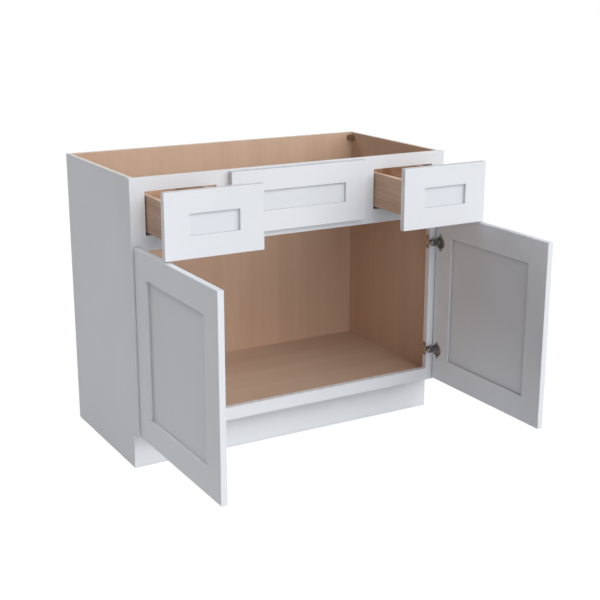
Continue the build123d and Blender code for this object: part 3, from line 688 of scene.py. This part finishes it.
for name, node in nodes.items():
    finish = FINISH_OF_NODE.get(name, FINISH_OF_SLOT[slot_of[name]])
    node.data.materials.clear()
    node.data.materials.append(finish)
print("finishes on", len(nodes), "nodes")

# %% [markdown]
# ## Screw heads
# Screws hold the hinges, the slides, the brackets and the drawer fronts. A cross-recess head could be
# cut with a boolean, but it is quicker from a disc: raise it, bevel the rim, slice the top with planes
# and sink the slices that make the cross. One head is made for each size and set out where the boards
# need it, with its own Z turned to the way the screw looks. The screws of one place are one piece, so
# they ride together.

# %% Screw heads
PAN_HEAD = (0.0036, 0.0016)
FLAT_HEAD = (0.0034, 0.0005)
FRONT_HEAD = (0.0045, 0.0022)
HEAD_SIDES = 20
NEAR_TOP = 0.98
RIM_SHARE = 0.7
RIM_STEPS = 3
RIM_PROFILE = 0.5
CROSS_LONG = 0.50
CROSS_SHORT = 0.15
CROSS_WALL = 0.05
CROSS_DEPTH = 0.55
TO_RIGHT = Vector((1.0, 0.0, 0.0))
TO_BACK = Vector((0.0, 1.0, 0.0))
UPWARD = Vector((0.0, 0.0, 1.0))


def top_of(head, height):
    """The flat top of a screw head: its faces, their edges and their corners."""
    faces = [face for face in head.faces if face.calc_center_median().z > NEAR_TOP * height]
    edges = {edge for face in faces for edge in face.edges}
    corners = {corner for face in faces for corner in face.verts}
    return faces, [*faces, *edges, *corners]


def screw_head(radius, height):
    """A round head with a sunk cross, its foot on the plane of the board."""
    head = bmesh.new()
    bmesh.ops.create_circle(head, cap_ends=True, segments=HEAD_SIDES, radius=radius)
    raised = bmesh.ops.extrude_face_region(head, geom=head.faces[:])["geom"]
    lifted = [part for part in raised if isinstance(part, bmesh.types.BMVert)]
    bmesh.ops.translate(head, verts=lifted, vec=UPWARD * height)
    rim = [edge for edge in head.edges if min(corner.co.z for corner in edge.verts) > height / 2]
    bmesh.ops.bevel(head, geom=rim, offset=RIM_SHARE * height, offset_type="OFFSET", segments=RIM_STEPS,
                    profile=RIM_PROFILE, affect="EDGES", material=-1)
    for across in (TO_RIGHT, TO_BACK):
        for reach in (-CROSS_LONG, -CROSS_SHORT, CROSS_SHORT, CROSS_LONG):
            _, geometry = top_of(head, height)
            bmesh.ops.bisect_plane(head, geom=geometry, plane_co=across * reach * radius, plane_no=across)
    cross = []
    for face in top_of(head, height)[0]:
        middle = face.calc_center_median()
        near, far = sorted((abs(middle.x), abs(middle.y)))
        if near < CROSS_SHORT * radius and far < CROSS_LONG * radius:
            cross.append(face)
    bmesh.ops.inset_region(head, faces=cross, thickness=CROSS_WALL * radius, depth=-CROSS_DEPTH * height)
    bmesh.ops.recalc_face_normals(head, faces=head.faces[:])
    return head


def set_out(shape, places):
    """Copies of a shape, its own Z turned to each outward direction, in one mesh."""
    pattern = bpy.data.meshes.new("pattern")
    shape.to_mesh(pattern)
    together = bmesh.new()
    for point, outward in places:
        first = len(together.verts)
        together.from_mesh(pattern)
        together.verts.ensure_lookup_table()
        turned = outward.to_track_quat("Z", "Y").to_matrix().to_4x4()
        there = Matrix.Translation(point) @ turned
        bmesh.ops.transform(together, matrix=there, verts=together.verts[first:])
    bpy.data.meshes.remove(pattern)
    return together


def fitting(name, shape, finish, body):
    """A new piece from a finished mesh, on the body that carries it."""
    data = bpy.data.meshes.new(name)
    shape.to_mesh(data)
    data.materials.append(finish)
    made = bpy.data.objects.new(name, data)
    scene.collection.objects.link(made)
    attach(made, body)
    print(name, "rides on", body, "with", len(data.polygons), "faces")


pan_head = screw_head(*PAN_HEAD)
flat_head = screw_head(*FLAT_HEAD)
front_head = screw_head(*FRONT_HEAD)
print("screw heads with", len(pan_head.faces), "faces each")

# %% [markdown]
# ## Hinge screws
# Two pan heads pull each hinge plate against the edge of the stile, and two flat heads hold the ears of
# each cup. The flat heads have to be thin, because the closed door leaves less than a millimetre over
# them. Their heights come from the boxes of the hinge nodes, so they follow the hinges.

# %% Hinge screws
PLATE_HALF = 0.022
PLATE_SCREW = 0.015
PLATE_MIDDLE_Y = 0.009525
EAR_HALF = 0.029
EAR_SCREW = 0.0245
EAR_FACE = 0.51035
CUP_MIDDLE_Y = -0.0286

for side, s in SIDES.items():
    low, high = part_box(f"{side}_hinge_arms")
    face = low.x if s > 0 else high.x
    plate_places = []
    for level in (low.z + PLATE_HALF, high.z - PLATE_HALF):
        for rise in (-PLATE_SCREW, PLATE_SCREW):
            plate_places.append((Vector((face, PLATE_MIDDLE_Y, level + rise)), TO_RIGHT * -s))
    fitting(f"{side}_plate_screws", set_out(pan_head, plate_places), screw_steel, "cabinet")

    low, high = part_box(f"{side}_door_cups")
    ear_places = []
    for level in (low.z + EAR_HALF, high.z - EAR_HALF):
        for rise in (-EAR_SCREW, EAR_SCREW):
            ear_places.append((Vector((s * EAR_FACE, CUP_MIDDLE_Y, level + rise)), TO_RIGHT * -s))
    fitting(f"{side}_cup_screws", set_out(flat_head, ear_places), cup_nickel, f"{side}_door")

# %% [markdown]
# ## Slide, bracket, clip and drawer screws
# A slide base is screwed down through the tab on the middle rail, a rear bracket through its plate into
# the back panel, and a clip through its leg into the back of the mullion. Each drawer front is pulled
# on by two larger screws from inside the box, which travel with the drawer.

# %% Slide, bracket, clip and drawer screws
OPENING_INNER = 0.2683
OPENING_OUTER = 0.48895
TAB_SCREWS = (0.0115, 0.0505)
TAB_TOP = 0.7140
TAB_Y = 0.0072
BRACKET_SCREWS = (0.018, 0.044)
BRACKET_FACE = 0.51235
BRACKET_LEVEL = 0.7460
CLIP_FACE = 0.02065
CLIP_X = 0.2310
CLIP_LEVELS = (0.7655, 0.7855)
BOX_FRONT_FACE = -0.1883
BOX_SCREW_LEVEL = 0.7850
BOX_SCREW_SPREAD = 0.055

for side, s in SIDES.items():
    tab_places = []
    bracket_places = []
    for edge, way in ((s * OPENING_INNER, s), (s * OPENING_OUTER, -s)):
        for step in TAB_SCREWS:
            tab_places.append((Vector((edge + way * step, TAB_Y, TAB_TOP)), UPWARD))
        for step in BRACKET_SCREWS:
            bracket_places.append((Vector((edge + way * step, BRACKET_FACE, BRACKET_LEVEL)), -TO_BACK))
    clip_places = [(Vector((s * CLIP_X, CLIP_FACE, level)), TO_BACK) for level in CLIP_LEVELS]
    fitting(f"{side}_tab_screws", set_out(pan_head, tab_places), slide_zinc, "cabinet")
    bracket_screws = set_out(pan_head, bracket_places)
    fitting(f"{side}_bracket_screws", bracket_screws, slide_zinc, "cabinet")
    fitting(f"{side}_clip_screws", set_out(pan_head, clip_places), slide_zinc, "cabinet")

    middle = s * (OPENING_INNER + OPENING_OUTER) / 2
    box_places = []
    for spread in (-BOX_SCREW_SPREAD, BOX_SCREW_SPREAD):
        box_places.append((Vector((middle + spread, BOX_FRONT_FACE, BOX_SCREW_LEVEL)), TO_BACK))
    front_screws = set_out(front_head, box_places)
    fitting(f"{side}_front_screws", front_screws, slide_zinc, f"{side}_drawer")

# %% [markdown]
# ## Staples
# The back panel is stapled along its edges. A staple is one bent wire: a ring of corners stands for the
# cut end, it is drawn up the leg, spun round the first bend, drawn along the crown and spun down again.
# The bends are spins about the inside of the corner, so the wire keeps its thickness all the way.

# %% Staples
WIRE = 0.0006
WIRE_SIDES = 8
STAPLE_BEND = 0.0009
BEND_STEPS = 3
STAPLE_CROWN = 0.009
STAPLE_LEG = 0.0016
STAPLE_EDGE = 0.500
STAPLE_LOWEST = 0.235
STAPLE_STEP = 0.105
STAPLE_ROWS = 6
STAPLE_FACE = 0.52075


def drawn(wire, ring, way):
    """Pull the open end of the wire straight on."""
    made = bmesh.ops.extrude_edge_only(wire, edges=ring)["geom"]
    moved = {part for part in made if isinstance(part, bmesh.types.BMVert)}
    bmesh.ops.translate(wire, verts=list(moved), vec=way)
    edges = [part for part in made if isinstance(part, bmesh.types.BMEdge)]
    return [edge for edge in edges if moved.issuperset(edge.verts)]


def bent(wire, ring, centre):
    """Turn the open end of the wire through a right angle."""
    made = bmesh.ops.spin(wire, geom=ring, cent=centre, axis=TO_BACK, angle=math.pi / 2, steps=BEND_STEPS)
    return [part for part in made["geom_last"] if isinstance(part, bmesh.types.BMEdge)]


def staple():
    """A staple along X with its crown at the top."""
    half = STAPLE_CROWN / 2
    rise = STAPLE_LEG - STAPLE_BEND
    wire = bmesh.new()
    bmesh.ops.create_circle(wire, cap_ends=False, segments=WIRE_SIDES, radius=WIRE)
    bmesh.ops.translate(wire, verts=wire.verts[:], vec=(-half, 0.0, -STAPLE_LEG))
    ring = drawn(wire, wire.edges[:], UPWARD * rise)
    ring = bent(wire, ring, (STAPLE_BEND - half, 0.0, -STAPLE_BEND))
    ring = drawn(wire, ring, TO_RIGHT * (STAPLE_CROWN - 2 * STAPLE_BEND))
    ring = bent(wire, ring, (half - STAPLE_BEND, 0.0, -STAPLE_BEND))
    drawn(wire, ring, UPWARD * -rise)
    bmesh.ops.holes_fill(wire, edges=[edge for edge in wire.edges if edge.is_boundary], sides=WIRE_SIDES)
    bmesh.ops.recalc_face_normals(wire, faces=wire.faces[:])
    return wire


staple_places = []
for row in range(STAPLE_ROWS):
    level = STAPLE_LOWEST + STAPLE_STEP * row
    for s in SIDES.values():
        staple_places.append((Vector((s * STAPLE_EDGE, STAPLE_FACE, level)), TO_BACK))
fitting("back_staples", set_out(staple(), staple_places), slide_zinc, "cabinet")

# %% [markdown]
# ## Studio
# The cabinet stands on a plain white floor under five broad lamps. Four in front light the white faces,
# and one behind, high on the left, grazes the left side and draws the soft bands that the picture shows
# under the door's top rail and beside its stile. The camera, mirrors and glass see the room and the
# floor as white, and the lamps alone light everything else. Each lamp has the way towards it, its
# strength and its breadth in degrees.

# %% Studio
LAMPS = {
    "front": ((0.26, -0.88, 0.38), 1.40, 72.0),
    "front_right": ((0.75, -0.60, 0.30), 0.60, 36.0),
    "front_top": ((0.15, -0.65, 0.75), 0.81, 36.0),
    "front_left": ((-0.40, -0.85, 0.35), 0.43, 50.0),
    "back_left": ((-0.24, 0.70, 0.68), 1.45, 30.0),
}
WHITE = (1.0, 1.0, 1.0, 1.0)
FLOOR_SHADE = (0.60, 0.60, 0.61, 1.0)
FLOOR_ROUGH = 0.9
FLOOR_RADIUS = 14.0
FLOOR_SIDES = 64
FLOOR_GLOW = 1.16
FLOOR_GLOW_SHARE = 0.82

scene.view_settings.view_transform = "Standard"


def seen_as_white(finish):
    """One for the rays that show the background: the camera's, and those through mirrors and glass."""
    seen = finish.add("ShaderNodeLightPath", output="Is Camera Ray")
    mirrored = finish.add("ShaderNodeLightPath", output="Is Glossy Ray")
    passed = finish.add("ShaderNodeLightPath", output="Is Transmission Ray")
    return seen.larger(mirrored).larger(passed)


class Sky(Finish):
    """The world's own graph, added to in the same way as a material's."""

    def __init__(self, name):
        self.world = bpy.data.worlds.new(name)
        self.world.use_nodes = True
        self.tree = self.world.node_tree
        self.shader = self.tree.nodes["Background"]


sky = Sky("studio")
sky.set(Color=WHITE, Strength=seen_as_white(sky))
scene.world = sky.world

floor_shape = bmesh.new()
bmesh.ops.create_circle(floor_shape, cap_ends=True, segments=FLOOR_SIDES, radius=FLOOR_RADIUS)
floor_data = bpy.data.meshes.new("floor")
floor_shape.to_mesh(floor_data)
floor = bpy.data.objects.new("floor", floor_data)
scene.collection.objects.link(floor)
floor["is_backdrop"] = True

floor_finish = Finish("floor_white")
floor_finish.set(Base_Color=FLOOR_SHADE, Roughness=FLOOR_ROUGH, Specular_IOR_Level=0.0)
glow = floor_finish.add("ShaderNodeEmission", None, {"Color": WHITE, "Strength": FLOOR_GLOW})
lit = Signal(floor_finish, floor_finish.shader.outputs[0])
share = seen_as_white(floor_finish) * FLOOR_GLOW_SHARE
mixed = floor_finish.add("ShaderNodeMixShader", None, {0: share, 1: lit, 2: glow})
floor_finish.feed(floor_finish.tree.nodes["Material Output"].inputs["Surface"], mixed)
floor_data.materials.append(floor_finish.material)


def far_lamp(name, source, strength, spread):
    data = bpy.data.lights.new(name, "SUN")
    data.energy = strength
    data.angle = math.radians(spread)
    lamp = bpy.data.objects.new(name, data)
    lamp.rotation_euler = (-Vector(source)).to_track_quat("-Z", "Y").to_euler()
    scene.collection.objects.link(lamp)


for name, (source, strength, spread) in LAMPS.items():
    far_lamp(name, source, strength, spread)
print("studio with", len(LAMPS), "lamps")

# %% [markdown]
# ## Measure and finish
# The dressed cabinet has to stay as large as its solids, so the box round everything shown, the floor
# left out, is printed.

# %% Measure and finish
low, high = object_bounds()
print("visual box", [round(v, 4) for v in low], [round(v, 4) for v in high])
